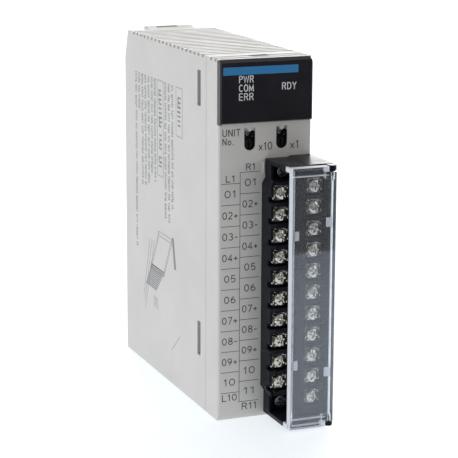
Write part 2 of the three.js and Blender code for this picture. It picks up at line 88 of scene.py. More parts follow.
class Finish:
    """A Principled material with the few procedural nodes that the finishes share."""

    def __init__(self, name, colour, roughness, **settings):
        self.material = bpy.data.materials.new(name)
        self.material.use_nodes = True
        self.nodes = self.material.node_tree.nodes
        self.links = self.material.node_tree.links
        self.shader = self.nodes["Principled BSDF"]
        self.colour = colour
        self.shader.inputs["Base Color"].default_value = (*colour, 1)
        self.shader.inputs["Roughness"].default_value = roughness
        for socket, value in settings.items():
            self.shader.inputs[socket.replace("_", " ")].default_value = value
        self.place = self.nodes.new("ShaderNodeTexCoord").outputs["Object"]

    def stretched(self, scale):
        mapping = self.nodes.new("ShaderNodeMapping")
        mapping.inputs["Scale"].default_value = scale
        self.links.new(self.place, mapping.inputs["Vector"])
        return mapping.outputs["Vector"]

    def noise(self, size, detail=2.0, rough=0.5, stretch=None):
        """Noise whose blobs are about size millimetres across."""
        noise = self.nodes.new("ShaderNodeTexNoise")
        noise.inputs["Scale"].default_value = 1 / (size * MM)
        noise.inputs["Detail"].default_value = detail
        noise.inputs["Roughness"].default_value = rough
        self.links.new(self.stretched(stretch) if stretch else self.place, noise.inputs["Vector"])
        return noise.outputs["Fac"]

    def maths(self, operation, *values):
        """A Math node; each value is a number or an output to link."""
        node = self.nodes.new("ShaderNodeMath")
        node.operation = operation
        for socket, value in zip(node.inputs, values):
            if isinstance(value, (int, float)):
                socket.default_value = value
            else:
                self.links.new(value, socket)
        return node.outputs["Value"]

    def inside(self, low, high):
        """One inside a box drawn in millimetres, and zero outside it."""
        parts = self.nodes.new("ShaderNodeSeparateXYZ")
        self.links.new(self.place, parts.inputs["Vector"])
        mask = None
        for axis, start, end in zip("XYZ", spot(*low), spot(*high)):
            middle, reach = (start + end) / 2, (end - start) / 2
            offset = self.maths("ABSOLUTE", self.maths("SUBTRACT", parts.outputs[axis], middle))
            test = self.maths("LESS_THAN", offset, reach)
            mask = test if mask is None else self.maths("MULTIPLY", mask, test)
        return mask

    def spread(self, value, low, high, start=0.3, end=0.7):
        """Maps the middle of a noise onto low to high."""
        remap = self.nodes.new("ShaderNodeMapRange")
        for socket, number in zip(("From Min", "From Max", "To Min", "To Max"), (start, end, low, high)):
            remap.inputs[socket].default_value = number
        self.links.new(value, remap.inputs["Value"])
        return remap.outputs["Result"]

    def tint(self, value, other, low=0.0, high=1.0):
        """Mixes the base colour towards another one by a value."""
        mix = self.nodes.new("ShaderNodeMix")
        mix.data_type = "RGBA"
        mix.inputs["A"].default_value = (*self.colour, 1)
        mix.inputs["B"].default_value = (*other, 1)
        self.links.new(self.spread(value, low, high), mix.inputs["Factor"])
        self.links.new(mix.outputs["Result"], self.shader.inputs["Base Color"])

    def matt(self, value, low, high):
        self.links.new(self.spread(value, low, high), self.shader.inputs["Roughness"])

    def relief(self, value, height, strength=1.0, over=None):
        """Bump of that height in millimetres, on top of another bump if one is given."""
        bump = self.nodes.new("ShaderNodeBump")
        bump.inputs["Strength"].default_value = strength
        bump.inputs["Distance"].default_value = height * MM
        self.links.new(value, bump.inputs["Height"])
        if over is not None:
            self.links.new(over, bump.inputs["Normal"])
        self.links.new(bump.outputs["Normal"], self.shader.inputs["Normal"])
        return bump.outputs["Normal"]


def shade(colour, factor):
    return tuple(channel * factor for channel in colour)


def moulded(name, colour, roughness, grain=0.28, height=0.012, drift=0.93, **settings):
    """Moulded plastic: fine eroded grain, slow flow marks, and a little drift in tone and gloss."""
    finish = Finish(name, colour, roughness, **settings)
    finish.tint(finish.noise(26, 3.0), shade(colour, drift), 0.0, 1.0)
    finish.matt(finish.noise(9, 4.0), roughness - 0.05, roughness + 0.07)
    flow = finish.relief(finish.noise(14, 1.0, stretch=(1, 1, 0.35)), height * 3, 0.25)
    finish.relief(finish.noise(grain, 3.0, 0.6), height, 0.7, over=flow)
    return finish


def plated(name, colour, roughness, stain=0.75):
    """Plated metal: fine tumbling marks, cloudy gloss and faint darker stains."""
    finish = Finish(name, colour, roughness, Metallic=1.0)
    finish.tint(finish.noise(1.6, 4.0, 0.6), shade(colour, stain), 0.0, 0.8)
    finish.matt(finish.noise(0.5, 4.0), roughness - 0.05, roughness + 0.09)
    dents = finish.relief(finish.noise(0.65, 2.0), 0.07, 1.0)
    finish.relief(finish.noise(0.12, 2.0, stretch=(1, 1, 6)), 0.004, 0.5, over=dents)
    return finish


def ink(name, colour, roughness=0.5):
    """Pad-printed ink: slightly uneven cover and a faint orange peel."""
    finish = Finish(name, colour, roughness)
    finish.tint(finish.noise(0.35, 3.0), shade(colour, 1.2), 0.0, 0.5)
    finish.matt(finish.noise(0.8, 2.0), roughness - 0.05, roughness + 0.08)
    finish.relief(finish.noise(0.2, 2.0), 0.004, 0.4)
    return finish.material


# ---------------------------------------------------------------- finishes


def housing_plastic():
    return moulded("light_grey_plastic", (0.66, 0.645, 0.625), 0.5).material


def window_plastic():
    finish = Finish("smoked_window", (0.016, 0.0155, 0.02), 0.14, Specular_IOR_Level=0.3)
    finish.tint(finish.noise(18, 2.0), (0.022, 0.021, 0.026))
    finish.matt(finish.noise(3, 4.0), 0.10, 0.17)
    finish.relief(finish.noise(6, 2.0), 0.01, 0.3)
    return finish.material


def block_plastic():
    return moulded("black_block_plastic", (0.007, 0.0078, 0.0115), 0.31, grain=0.2, height=0.01,
                   drift=1.5, Specular_IOR_Level=0.1).material


def frosted_places():
    """Boxes, in drawing millimetres, round the matt stretches of the clear cover: its frosted lip, clips
    and knuckles, and thin strips along its edges, ribs and two inner walls that are painted highlights.
    """
    low, high = drawn_box("terminal_cover")
    front, back = low.y - 1, high.y + 3
    outer_left, edge, ends = 0.45, 0.15, (6, 91.5)
    places = [
        ((low.x - 1, front, low.z - 1), (outer_left, back, high.z + 1)),
        # Thin strips along the right, top and bottom edges: painted edge highlights.
        ((high.x - edge, front, low.z - 1), (high.x + 1, -22.6, high.z + 1)),
        ((low.x - 1, front, high.z - edge), (high.x + 1, back, high.z + 1)),
        ((low.x - 1, front, low.z - 1), (high.x + 1, back, low.z + edge)),
    ]
    # Thin strips along the two ribs: painted highlights.
    rib_half, rib_end = 0.14, high.x - 3
    for z in (92.0, 5.5):
        places.append(((low.x, front, z - rib_half), (rib_end, back, z + rib_half)))
    # Two thin lines along the inner walls: painted edge highlights.
    line_front, line_back, line_width = -22.75, -22.3, 0.28
    for x in (1.15, 14.9):
        places.append(((x, line_front, ends[0]), (x + line_width, line_back, ends[1])))
    clip_front, clip_back, clip_half = -22.4, -20.8, 1.9
    for x0, x1, middles in ((2.0, 3.7, (71.1, 24.9)), (13.7, 15.9, (75.2, 21.5))):
        for z in middles:
            places.append(((x0, clip_front, z - clip_half), (x1, clip_back, z + clip_half)))
    knuckle_left, knuckle_right, knuckle_high = 12.2, 14.1, 1.8
    for z0, z1 in ((high.z - knuckle_high, high.z + 1), (low.z - 1, low.z + knuckle_high)):
        places.append(((knuckle_left, front, z0), (knuckle_right, back, z1)))
    return places


def clear_plastic():
    """Clear moulding, faintly bluish; its lip, clips and knuckles are frosted, and thin frosted strips
    along its edges, ribs and inner walls are painted highlights.
    """
    clear_colour, frost_and_highlight_colour = (0.93, 0.96, 1.0), (0.83, 0.87, 0.95)
    finish = Finish("clear_cover_plastic", clear_colour, 0.02, IOR=1.64,
                    Specular_Tint=(0.8, 0.9, 1.0, 1))
    # The frost mask also covers the painted highlight strips: there the whitish, matt colour that lets
    # less light through stands in for edge highlights.
    frost_and_highlight = 0.0
    for low, high in frosted_places():
        frost_and_highlight = finish.maths("MAXIMUM", finish.inside(low, high), frost_and_highlight)
    mix = finish.nodes.new("ShaderNodeMix")
    mix.data_type = "RGBA"
    mix.inputs["A"].default_value = (*clear_colour, 1)
    mix.inputs["B"].default_value = (*frost_and_highlight_colour, 1)
    finish.links.new(frost_and_highlight, mix.inputs["Factor"])
    finish.links.new(mix.outputs["Result"], finish.shader.inputs["Base Color"])
    gloss = finish.spread(finish.noise(5, 3.0), 0.02, 0.05)
    frost_and_highlight_roughness = 0.5
    rough = finish.maths("MULTIPLY_ADD", frost_and_highlight, frost_and_highlight_roughness, gloss)
    finish.links.new(rough, finish.shader.inputs["Roughness"])
    clear_share, frost_and_highlight_share = 0.96, 0.25
    passed = finish.maths("MULTIPLY_ADD", frost_and_highlight, frost_and_highlight_share - clear_share, clear_share)
    finish.links.new(passed, finish.shader.inputs["Transmission Weight"])
    finish.relief(finish.noise(7, 1.5, stretch=(1, 1, 0.4)), 0.012, 0.35)
    return finish.material


def circuit_board():
    finish = Finish("green_solder_mask", (0.015, 0.10, 0.05), 0.32)
    tracks = finish.nodes.new("ShaderNodeTexBrick")
    tracks.inputs["Scale"].default_value = 1 / (7 * MM)
    tracks.inputs["Mortar Size"].default_value = 0.03
    tracks.inputs["Color1"].default_value = (0, 0, 0, 1)
    tracks.inputs["Color2"].default_value = (0, 0, 0, 1)
    tracks.inputs["Mortar"].default_value = (1, 1, 1, 1)
    turned = finish.nodes.new("ShaderNodeMapping")
    turned.inputs["Rotation"].default_value = (math.pi / 2, 0, 0)
    finish.links.new(finish.place, turned.inputs["Vector"])
    finish.links.new(turned.outputs["Vector"], tracks.inputs["Vector"])
    finish.tint(tracks.outputs["Color"], (0.05, 0.24, 0.11))
    finish.relief(tracks.outputs["Color"], 0.035, 0.8)
    return finish.material


def light_guide():
    finish = Finish("light_guide", (0.85, 0.88, 0.84), 0.2, Transmission_Weight=0.7, IOR=1.49)
    finish.matt(finish.noise(1.5), 0.15, 0.3)
    finish.relief(finish.noise(2.0), 0.01, 0.4)
    return finish.material


FINISHES = {
    "housing": housing_plastic(),
    "window": window_plastic(),
    "block": block_plastic(),
    "clear": clear_plastic(),
    "nickel": plated("nickel_plate", (0.8, 0.765, 0.69), 0.08).material,
    "contact": plated("tinned_brass", (0.62, 0.57, 0.47), 0.16).material,
    "black_steel": plated("black_zinc", (0.15, 0.15, 0.165), 0.26, stain=1.4).material,
    "gold": plated("gold_flash", (0.75, 0.52, 0.2), 0.22).material,
    "board": circuit_board(),
    "converter": moulded("converter_epoxy", (0.03, 0.03, 0.034), 0.45, grain=0.4, drift=1.4).material,
    "connector": moulded("black_connector", (0.022, 0.022, 0.024), 0.42, drift=1.5).material,
    "dial": moulded("black_dial", (0.006, 0.006, 0.007), 0.5, grain=0.15, drift=1.6,
                    Specular_IOR_Level=0.2).material,
    "guide": light_guide(),
    "grey_ink": ink("grey_ink", (0.075, 0.073, 0.068)),
    "pale_ink": ink("pale_grey_ink", (0.2, 0.205, 0.23)),
    "white_ink": ink("white_ink", (0.72, 0.73, 0.76), 0.4),
    "blue_ink": ink("blue_ink", (0.02, 0.2, 0.46), 0.35),
}

# ---------------------------------------------------------------- CAD pieces


def shade_smooth_group():
    group = bpy.data.node_groups.new("shade_smooth", "GeometryNodeTree")
    group.interface.new_socket("Geometry", in_out="INPUT", socket_type="NodeSocketGeometry")
    group.interface.new_socket("Geometry", in_out="OUTPUT", socket_type="NodeSocketGeometry")
    entry = group.nodes.new("NodeGroupInput")
    smooth = group.nodes.new("GeometryNodeSetShadeSmooth")
    leave = group.nodes.new("NodeGroupOutput")
    group.links.new(entry.outputs[0], smooth.inputs["Geometry"])
    group.links.new(smooth.outputs["Geometry"], leave.inputs[0])
    return group


SHADE_SMOOTH = shade_smooth_group()


def soften(node, radius, segments=3, angle=32):
    """Rounds a CAD piece's edges with modifiers, which leaves its own mesh alone."""
    weld = node.modifiers.new("weld", "WELD")
    weld.merge_threshold = 0.002 * MM
    flat = node.modifiers.new("flat", "DECIMATE")
    flat.decimate_type = "DISSOLVE"
    flat.angle_limit = math.radians(0.4)
    divide = node.modifiers.new("divide", "TRIANGULATE")
    divide.min_vertices = 5
    rounded = node.modifiers.new("round", "BEVEL")
    rounded.width = radius * MM
    rounded.segments = segments
    rounded.limit_method = "ANGLE"
    rounded.angle_limit = math.radians(angle)
    rounded.miter_outer = "MITER_ARC"
    smooth = node.modifiers.new("smooth", "NODES")
    smooth.node_group = SHADE_SMOOTH
    normals = node.modifiers.new("normals", "WEIGHTED_NORMAL")
    normals.keep_sharp = False
    normals.weight = 100


def dress(name, finish, radius, segments=3):
    node = NODES[name]
    node.data.materials.clear()
    node.data.materials.append(FINISHES[finish])
    if radius:
        soften(node, radius, segments)


def dress_cad_pieces():
    # The clear cover lets light through to the terminals, so it casts no shadow.
    NODES["terminal_cover"].visible_shadow = False
    dress("rear_housing", "housing", 0.3)
    dress("front_bezel", "housing", 0.3)
    dress("indicator_window", "window", 0.3)
    dress("terminal_block_base", "block", 0.16)
    dress("terminal_cover", "clear", 0.18)
    dress("main_circuit_board", "board", 0.1)
    dress("front_circuit_board", "board", 0.1)
    dress("dc_converter", "converter", 0.4)
    dress("backplane_connector", "connector", 0.25)
    dress("terminal_header", "connector", 0.06)
    dress("indicator_light_guide", "guide", 0.2)
    for side in ("left", "right"):
        dress(f"rotary_switch_body_{side}", "dial", 0.25)
        dress(f"rotary_dial_{side}", "dial", 0.1)
    for tag in TERMINALS:
        dress(f"terminal_contact_{tag}", "contact", 0.12, 2)


# ---------------------------------------------------------------- mesh tools


def piece_from(name, shape, finish, body, angle=35):
    """A new piece from a bmesh drawn in metres along the frame's axes; it rides on a body."""
    bmesh.ops.recalc_face_normals(shape, faces=shape.faces)
    mesh = bpy.data.meshes.new(name)
    shape.to_mesh(mesh)
    shape.free()
    return piece_of(name, mesh, finish, body, angle)


def piece_of(name, mesh, finish, body, angle=35, place=None):
    if finish:
        mesh.materials.clear()
        mesh.materials.append(FINISHES[finish])
    mesh.shade_smooth()
    mesh.set_sharp_from_angle(angle=math.radians(angle))
    piece = bpy.data.objects.new(name, mesh)
    SCENE.collection.objects.link(piece)
    if place is not None:
        piece.matrix_world = place
    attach(piece, body)
    return piece


def add_prism(shape, points, lift):
    """Adds a closed prism: points are Vectors round one end, lift the way to the other end."""
    near = [shape.verts.new(point) for point in points]
    far = [shape.verts.new(point + lift) for point in points]
    shape.faces.new(near)
    shape.faces.new(list(reversed(far)))
    count = len(points)
    for i in range(count):
        j = (i + 1) % count
        shape.faces.new((near[j], near[i], far[i], far[j]))


def add_block(shape, x0, x1, y0, y1, z0, z1):
    corners = [spot(x0, y0, z0), spot(x1, y0, z0), spot(x1, y0, z1), spot(x0, y0, z1)]
    add_prism(shape, corners, spot(x0, y1, z0) - corners[0])


def lathe(profile, sides):
    """A closed solid of revolution about Y. The profile is (radius, y) pairs in mm from axis to axis."""
    shape = bmesh.new()
    rings = []
    for radius, y in profile:
        if radius == 0:
            rings.append([shape.verts.new((0, y * MM, 0))])
            continue
        angles = [2 * math.pi * k / sides for k in range(sides)]
        rings.append([
            shape.verts.new((radius * MM * math.cos(a), y * MM, radius * MM * math.sin(a)))
            for a in angles
        ])
    for near, far in zip(rings, rings[1:]):
        for k in range(sides):
            n = (k + 1) % sides
            corners = [near[k % len(near)], near[n % len(near)], far[n % len(far)], far[k % len(far)]]
            shape.faces.new(list(dict.fromkeys(corners)))
    bmesh.ops.recalc_face_normals(shape, faces=shape.faces)
    return shape


def arc(radius, centre_r, centre_y, start, end, steps):
    """Profile points on a quarter or other arc; angles in degrees from the radial direction to +Y."""
    points = []
    for k in range(steps + 1):
        a = math.radians(start + (end - start) * k / steps)
        points.append((centre_r + radius * math.cos(a), centre_y + radius * math.sin(a)))
    return points


def object_from(name, shape):
    mesh = bpy.data.meshes.new(name)
    shape.to_mesh(mesh)
    shape.free()
    holder = bpy.data.objects.new(name, mesh)
    SCENE.collection.objects.link(holder)
    return holder


def evaluated_mesh(holder, name):
    bpy.context.view_layer.update()
    seen = holder.evaluated_get(bpy.context.evaluated_depsgraph_get())
    mesh = bpy.data.meshes.new_from_object(seen)
    mesh.name = name
    return mesh


# ---------------------------------------------------------------- printing
# Ink shapes are drawn in mm on a flat sheet, u to the right and v up, then laid on a face.

INK_HEIGHT = 0.03
FRONT_SHEET = Matrix(((1, 0, 0), (0, 0, -1), (0, 1, 0)))
LEFT_SHEET = Matrix(((0, 0, -1), (-1, 0, 0), (0, 1, 0)))


def add_bar(shape, u0, v0, u1, v1):
    corners = [Vector((u0, v0, 0)), Vector((u1, v0, 0)), Vector((u1, v1, 0)), Vector((u0, v1, 0))]
    add_prism(shape, corners, Vector((0, 0, INK_HEIGHT)))


def add_line(shape, start, end, width):
    a, b = Vector((*start, 0)), Vector((*end, 0))
    along = (b - a).normalized() * width / 2
    across = Vector((-along.y, along.x, 0))
    corners = [a - along - across, b + along - across, b + along + across, a - along + across]
    add_prism(shape, corners, Vector((0, 0, INK_HEIGHT)))


def add_frame(shape, u0, v0, u1, v1, width):
    half = width / 2
    add_bar(shape, u0 - half, v0 - half, u1 + half, v0 + half)
    add_bar(shape, u0 - half, v1 - half, u1 + half, v1 + half)
    add_bar(shape, u0 - half, v0 + half, u0 + half, v1 - half)
    add_bar(shape, u1 - half, v0 + half, u1 + half, v1 - half)


def curve(centre_u, centre_v, reach_u, reach_v, start, end, steps=12):
    """Points on part of an oval; angles in degrees, anticlockwise from the right."""
    angles = [math.radians(start + (end - start) * k / steps) for k in range(steps + 1)]
    return [(centre_u + reach_u * math.cos(a), centre_v + reach_v * math.sin(a)) for a in angles]


def ring(centre_u, centre_v, reach_u, reach_v):
    """A whole oval. Its first and last points are the same, which closes the stroke."""
    return curve(centre_u, centre_v, reach_u, reach_v, 90, 450, 20)


STEM = [(0.07, 0), (0.07, 1)]
BOWL = [(0.07, 0.95), *curve(0.34, 0.73, 0.22, 0.22, 90, -90, 8), (0.07, 0.51)]
# Each sign is its width and its strokes, in cap heights from the lower left corner.
SIGN_STROKES = {
    "0": (0.62, [ring(0.31, 0.5, 0.25, 0.45)]),
    "1": (0.34, [[(0.22, 0), (0.22, 1)], [(0.03, 0.74), (0.2, 0.93)]]),
    "2": (0.60, [[*curve(0.3, 0.69, 0.23, 0.26, 165, -30), (0.06, 0.05), (0.56, 0.05)]]),
    "3": (0.58, [curve(0.28, 0.73, 0.2, 0.22, 150, -90), curve(0.28, 0.28, 0.24, 0.23, 90, -150)]),
    "4": (0.64, [[(0.44, 0), (0.44, 0.95), (0.05, 0.3), (0.61, 0.3)]]),
    "5": (0.59, [[(0.52, 0.95), (0.13, 0.95), (0.09, 0.5), *curve(0.29, 0.32, 0.24, 0.27, 125, -150)]]),
    "6": (0.60, [ring(0.31, 0.31, 0.24, 0.26), curve(0.57, 0.34, 0.5, 0.61, 180, 108, 8)]),
    "7": (0.58, [[(0.04, 0.95), (0.54, 0.95), (0.2, 0)]]),
    "8": (0.60, [ring(0.3, 0.74, 0.2, 0.21), ring(0.3, 0.28, 0.24, 0.23)]),
    "9": (0.60, [ring(0.29, 0.69, 0.24, 0.26), curve(0.03, 0.66, 0.5, 0.61, 0, -72, 8)]),
    "+": (0.56, [[(0.28, 0.14), (0.28, 0.66)], [(0.03, 0.4), (0.53, 0.4)]]),
    "-": (0.42, [[(0.04, 0.4), (0.38, 0.4)]]),
    ".": (0.20, [[(0.1, 0), (0.1, 0.13)]]),
    "x": (0.52, [[(0.03, 0), (0.49, 0.66)], [(0.03, 0.66), (0.49, 0)]]),
    "o": (0.56, [ring(0.28, 0.33, 0.22, 0.29)]),
    "C": (0.66, [curve(0.35, 0.5, 0.29, 0.45, 42, 318, 16)]),
    "D": (0.66, [[(0.07, 0.05), (0.07, 0.95), *curve(0.3, 0.5, 0.3, 0.45, 90, -90), (0.07, 0.05)]]),
    "E": (0.60, [STEM, *([(0.07, v), (0.56, v)] for v in (0.05, 0.5, 0.95))]),
    "I": (0.16, [[(0.08, 0), (0.08, 1)]]),
    "L": (0.54, [[(0.07, 1), (0.07, 0.05), (0.53, 0.05)]]),
    "M": (0.78, [STEM, [(0.07, 0.95), (0.39, 0.2), (0.71, 0.95)], [(0.71, 0), (0.71, 1)]]),
    "N": (0.66, [STEM, [(0.08, 0.95), (0.58, 0.05)], [(0.59, 0), (0.59, 1)]]),
    "O": (0.70, [ring(0.35, 0.5, 0.29, 0.45)]),
    "P": (0.60, [STEM, BOWL]),
    "R": (0.64, [STEM, BOWL, [(0.36, 0.51), (0.6, 0)]]),
    "T": (0.60, [[(0.01, 0.95), (0.59, 0.95)], [(0.3, 0), (0.3, 0.93)]]),
    "U": (0.66, [[(0.07, 1), *curve(0.33, 0.33, 0.26, 0.28, 180, 360), (0.59, 1)]]),
    "W": (0.88, [[(0.03, 1), (0.22, 0.04), (0.44, 0.88), (0.66, 0.04), (0.85, 1)]]),
    "Y": (0.62, [[(0.31, 0), (0.31, 0.46)], [(0.03, 1), (0.31, 0.46), (0.59, 1)]]),
}
LETTER_GAP = 0.16


def add_stroke(shape, points, width):
    """A flat ribbon of ink along points, with mitred corners; it closes if the ends meet."""
    spine = [Vector(point) for point in points]
    closed = (spine[0] - spine[-1]).length < 1e-6
    if closed:
        spine.pop()
    count = len(spine)
    sections = []
    for k in range(count):
        before = spine[k] - spine[k - 1] if closed or k > 0 else spine[1] - spine[0]
        after = spine[(k + 1) % count] - spine[k] if closed or k < count - 1 else before
        before, after = before.normalized(), after.normalized()
        across = Vector((-before.y - after.y, before.x + after.x)).normalized()
        reach = width / 2 / max(0.45, across.dot(Vector((-before.y, before.x))))
        sides = [spine[k] - across * reach, spine[k] + across * reach]
        sections.append([shape.verts.new((p.x, p.y, v)) for p, v in
                         ((sides[0], 0), (sides[1], 0), (sides[1], INK_HEIGHT), (sides[0], INK_HEIGHT))])
    pairs = list(zip(sections, sections[1:]))
    if closed:
        pairs.append((sections[-1], sections[0]))
    else:
        shape.faces.new(sections[0])
        shape.faces.new(list(reversed(sections[-1])))
    for near, far in pairs:
        for k in range(4):
            n = (k + 1) % 4
            shape.faces.new((near[n], near[k], far[k], far[n]))


def add_words(shape, words, u0, v0, u1, v1, weight=0.34):
    """Plain single-stroke lettering that fills the box from (u0, v0) to (u1, v1)."""
    natural = sum(SIGN_STROKES[sign][0] for sign in words) + LETTER_GAP * (len(words) - 1)
    wide, high = (u1 - u0) / natural, v1 - v0
    left = u0
    for sign in words:
        width, strokes = SIGN_STROKES[sign]
        for stroke in strokes:
            add_stroke(shape, [(left + u * wide, v0 + v * high) for u, v in stroke], weight)
        left += (width + LETTER_GAP) * wide


def print_on(name, shape, sheet, origin, finish, body):
    """Lays an ink drawing on a face whose zero point is origin, and makes it a piece."""
    for vertex in shape.verts:
        vertex.co = origin + (sheet @ vertex.co) * MM
    return piece_from(name, shape, finish, body)


TABLE = {"left": -16.4, "divider": -9.37, "right": -2.0, "line": 0.2}
CAP_HEIGHT = 2.6
CELL = 7.62
SIGNS = ("", "+", "-", "+", "")


def cell_text(number):
    return f"{number:02d}{SIGNS[(number - 1) % len(SIGNS)]}"


def table_column(shape, centre, left, right, top, count, head):
    """One ruled column of terminal numbers with its first and last name outside the lines."""
    for k in range(count + 1):
        z = top - CELL * k
        add_line(shape, (left, z), (right, z), TABLE["line"])
    for k in range(count):
        words = cell_text(k + 1)
        half = 2.2 if len(words) == 2 else 2.95
        middle = top - CELL * (k + 0.5) + 0.1
        add_words(shape, words, centre - half, middle - CAP_HEIGHT / 2, centre + half,
                  middle + CAP_HEIGHT / 2)
    half = 1.75
    add_words(shape, f"{head}1", centre - half, top + 0.6, centre + half, top + 2.95)
    last = top - CELL * count
    half = 2.9
    add_words(shape, f"{head}{count}", centre - half, last - 3.1, centre + half, last - 0.6)


def front_table():
    shape = bmesh.new()
    top_a, top_b = 90.22, 86.41
    table_column(shape, -5.5, TABLE["divider"], TABLE["right"], top_a, COLUMNS["a"], "R")
    table_column(shape, -13.1, TABLE["left"], TABLE["divider"], top_b, COLUMNS["b"], "L")
    low = top_a - CELL * COLUMNS["a"]
    add_line(shape, (TABLE["divider"], low), (TABLE["divider"], top_a), TABLE["line"])
    print_on("terminal_table_print", shape, FRONT_SHEET, spot(0, 0, 0), "grey_ink", "casing")


# Each caption has its words, then left, bottom, right and top.
SWITCH_CAPTIONS = (
    ("UNIT", -16.1, 103.1, -9.4, 105.6),
    ("No.", -16.1, 100.1, -11.9, 102.5),
    ("x10", -2.5, 97.6, 2.7, 100.4),
    ("x1", 9.5, 97.6, 12.7, 100.4),
)


def switch_captions():
    shape = bmesh.new()
    for words, left, bottom, right, top in SWITCH_CAPTIONS:
        add_words(shape, words, left, bottom, right, top)
    print_on("switch_caption_print", shape, FRONT_SHEET, spot(0, 0, 0), "grey_ink", "casing")


def window_print():
    origin = spot(0, -WINDOW_PROUD, 0)
    stripe = bmesh.new()
    add_bar(stripe, -16.44, 124.6, 11.65, 127.35)
    print_on("window_stripe_print", stripe, FRONT_SHEET, origin, "blue_ink", "casing")
    legends = bmesh.new()
    first_top, row_step, height, weight = 124.3, 3.05, 2.5, 0.33
    for row, words in enumerate(("PWR", "COM", "ERR")):
        top = first_top - row_step * row
        add_words(legends, words, -10.6, top - height, -5.15, top, weight)
    add_words(legends, "RDY", 5.5, 118.8, 10.95, 121.3, weight)
    print_on("lamp_legend_print", legends, FRONT_SHEET, origin, "white_ink", "casing")


def add_greek(shape, u, top, bottom, height, rng, step=0.85):
    """A line of unreadable type running down the face: ticks in words of varied length."""
    v = top
    while v > bottom:
        for _ in range(rng.randint(3, 9)):
            reach = height / 2 * rng.uniform(0.72, 1.0)
            shift = rng.uniform(-0.12, 0.12) * height
            thick = rng.uniform(0.34, 0.52) * step
            add_bar(shape, u - reach + shift, v - thick, u + reach + shift, v)
            if rng.random() < 0.4:
                add_bar(shape, u - reach + shift, v - step, u - reach * 0.5 + shift, v - thick)
            v -= step
            if v < bottom:
                return
        v -= step


# Each line or heading of the side panel is its depth from the front face and its lower end.
SIDE_LINES = ((87.5, 45.6), (83.9, 99.8), (80.2, 72.0), (76.6, 72.2), (72.9, 73.0), (69.3, 77.2),
              (65.7, 75.1), (54.1, 63.7), (50.3, 62.2), (46.6, 68.6))
SIDE_HEADINGS = ((59.9, 78.5), (39.35, 96.85))
SIDE_TOP = 114.9


def side_notes():
    """Generic notes on the left side: framed headings and lines of greeked type."""
    rng = random.Random(7)
    shape = bmesh.new()
    type_height, heading_height, heading_step = 2.1, 3.4, 1.7
    frame_half, frame_line = 3.3, 0.22
    for depth, bottom in SIDE_LINES:
        add_greek(shape, -depth, SIDE_TOP, bottom, type_height, rng)
    for depth, bottom in SIDE_HEADINGS:
        add_frame(shape, -depth - frame_half, bottom, -depth + frame_half, SIDE_TOP, frame_line)
        add_greek(shape, -depth, SIDE_TOP - 3.4, bottom + 3.0, heading_height, rng, step=heading_step)
    print_on("side_notes_print", shape, LEFT_SHEET, spot(-SIDE, 0, 0), "pale_ink", "casing")


def iso(along, across, up):
    """A point of a plain isometric sketch: u, v on the side's sheet."""
    corner = (-62.0, 56.7)
    return (corner[0] + 0.98 * along - 0.5 * across, corner[1] - 0.02 * along - 0.85 * across - up)


def side_sketch():
    """A generic line sketch of a flat box with hatching and a few loose strokes."""
    shape = bmesh.new()
    long, deep, high = 14.5, 17.5, 1.6
    thin = 0.22
    rims = [iso(0, 0, 0), iso(long, 0, 0), iso(long, deep, 0), iso(0, deep, 0)]
    drops = [iso(0, 0, high), iso(long, 0, high), iso(long, deep, high), iso(0, deep, high)]
    for outline in (rims, drops):
        for a, b in zip(outline, outline[1:] + outline[:1]):
            add_line(shape, a, b, thin)
    for a, b in zip(rims, drops):
        add_line(shape, a, b, thin)
    bold = 1.9
    add_line(shape, iso(long + 1.4, 0, 0), iso(long + 9.5, 11.4, 0), bold)
    hatch_count, hatch_step, hatch_width = 12, 0.95, 0.5
    for k in range(hatch_count):
        across = deep + hatch_step * k
        add_line(shape, iso(0.2 - 0.1 * k, across, 0), iso(long - 0.3 * k, across, 0), hatch_width)
    for k in range(3):
        add_line(shape, iso(-2.5 - 2.4 * k, 6.0, 0), iso(4.0 - 2.4 * k, 40.0 - 3 * k, 0), thin)
    for k in range(4):
        add_line(shape, iso(10 + 1.4 * k, 31.5, 0), iso(12.5 + 1.6 * k, 36.5, 0), thin)
    add_line(shape, (-47.8, 13.5), (-38.9, 21.0), thin)
    print_on("side_sketch_print", shape, LEFT_SHEET, spot(-SIDE, 0, 0), "pale_ink", "casing")


def dial_digits(side):
    """Numbers 0 to 9 round the dial's face; each passes the window as the dial turns."""
    low, high = drawn_box(f"rotary_dial_{side}")
    centre = (low + high) / 2
    face, digits = 2.6, 10
    orbit, height, width, weight = 3.55, 1.5, 1.0, 0.2
    left, right = -width / 2, width / 2
    bottom, top = orbit - height / 2, orbit + height / 2
    shape = bmesh.new()
    for digit in range(digits):
        first = len(shape.verts)
        add_words(shape, str(digit), left, bottom, right, top, weight)
        shape.verts.ensure_lookup_table()
        turn = Matrix.Rotation(-2 * math.pi * digit / digits, 3, "Z")
        for vertex in shape.verts[first:]:
            vertex.co = turn @ vertex.co
    print_on(f"dial_digits_{side}", shape, FRONT_SHEET, spot(centre.x, face, centre.z), "white_ink",
             f"{side}_dial")


# ---------------------------------------------------------------- front details

POINTER_TOP = 105.72
POINTER_TIP = 104.3


def window_ramp(side):
    """The sloped end of a switch window, with the pointer that marks the chosen number."""
    low, high = drawn_box(f"rotary_dial_{side}")
    x = (low.x + high.x) / 2
    half, foot = 2.06, 1.95
    shape = bmesh.new()
    side_view = [spot(x - half, 0.55, POINTER_TOP), spot(x - half, foot, POINTER_TIP + 0.1),
                 spot(x - half, foot, POINTER_TOP)]
    add_prism(shape, side_view, Vector((2 * half * MM, 0, 0)))
    pointer_half, near = 1.15, 0.04
    pointer = [spot(x - pointer_half, near, POINTER_TOP), spot(x, near, POINTER_TIP),
               spot(x + pointer_half, near, POINTER_TOP)]
    add_prism(shape, pointer, Vector((0, (foot - 0.1) * MM, 0)))
    piece_from(f"switch_pointer_{side}", shape, "housing", "casing")


